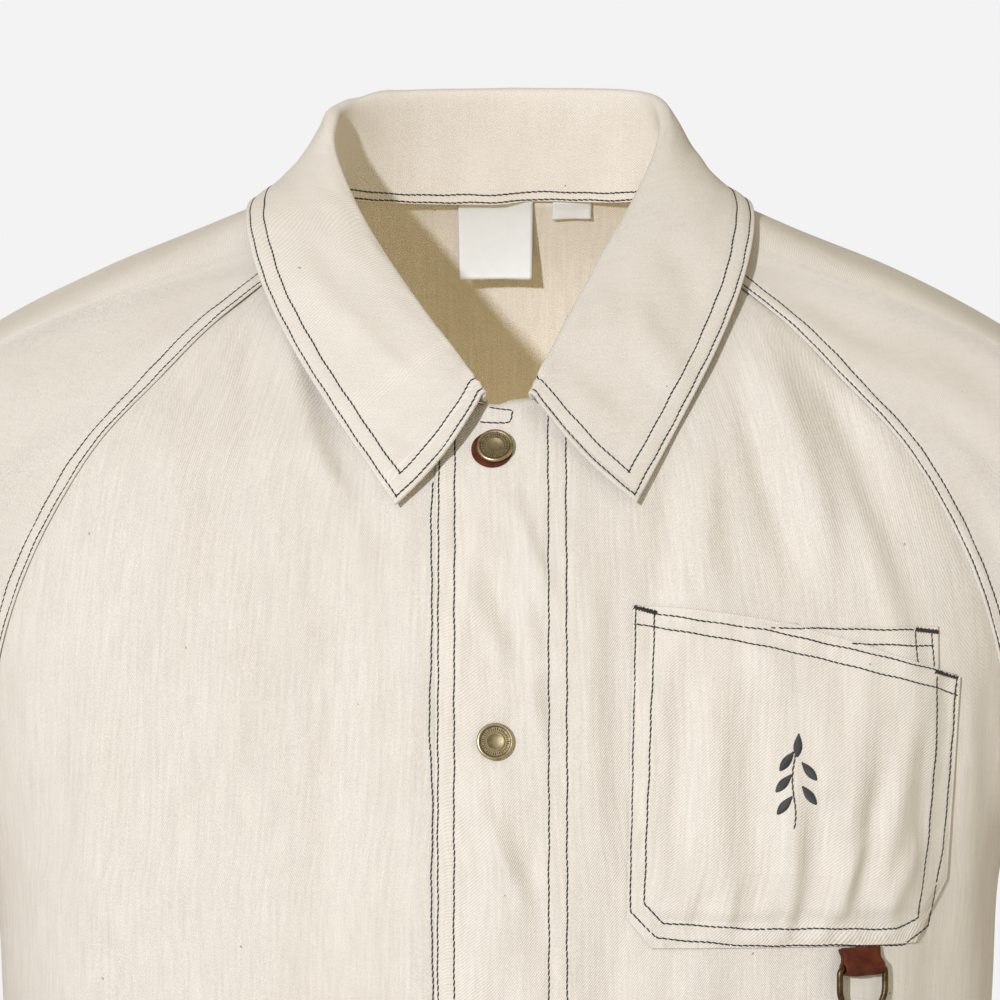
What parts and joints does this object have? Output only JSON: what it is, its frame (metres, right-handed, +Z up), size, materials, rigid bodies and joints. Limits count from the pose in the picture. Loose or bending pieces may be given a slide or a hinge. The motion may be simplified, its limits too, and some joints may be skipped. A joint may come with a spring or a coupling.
{
  "type": "denim jacket",
  "caption": "Raglan-sleeve unlined denim jacket with a convertible collar, snap placket, slanted chest pocket and a D-ring tab, in its worn hollow shape.",
  "frame": {"origin": "middle of the neck base, where the shoulders hold the jacket", "axes": "+X towards the wearer's left, +Y towards the back, +Z up"},
  "size_m": [0.8192, 0.2887, 0.7691],
  "materials": {
    "denim": "ecru twill, unwashed",
    "brass": "antique, worn at the rims",
    "leather": "rust brown, semi gloss",
    "satin": "woven satin"
  },
  "bodies": {
    "jacket": {"back": "denim", "front_right": "denim", "front_left": "denim", "sleeve_right": "denim", "sleeve_left": "denim", "collar": "denim", "pocket_outer": "denim", "pocket_inner": "denim", "leather_loop": "leather", "snap_washer": "leather", "snap_1": "brass", "snap_2": "brass", "snap_3": "brass", "snap_4": "brass", "snap_5": "brass", "neck_label": "satin", "size_tab": "satin"},
    "d_ring": {"d_ring": "brass"}
  },
  "joints": [
    {"name": "d_ring_swing", "type": "hinge", "parent": "jacket", "child": "d_ring", "pos_m": [0.15227, -0.12516, -0.3232], "axis": [-0.8561, -0.5167, 0], "range_deg": [-6, 150]}
  ]
}
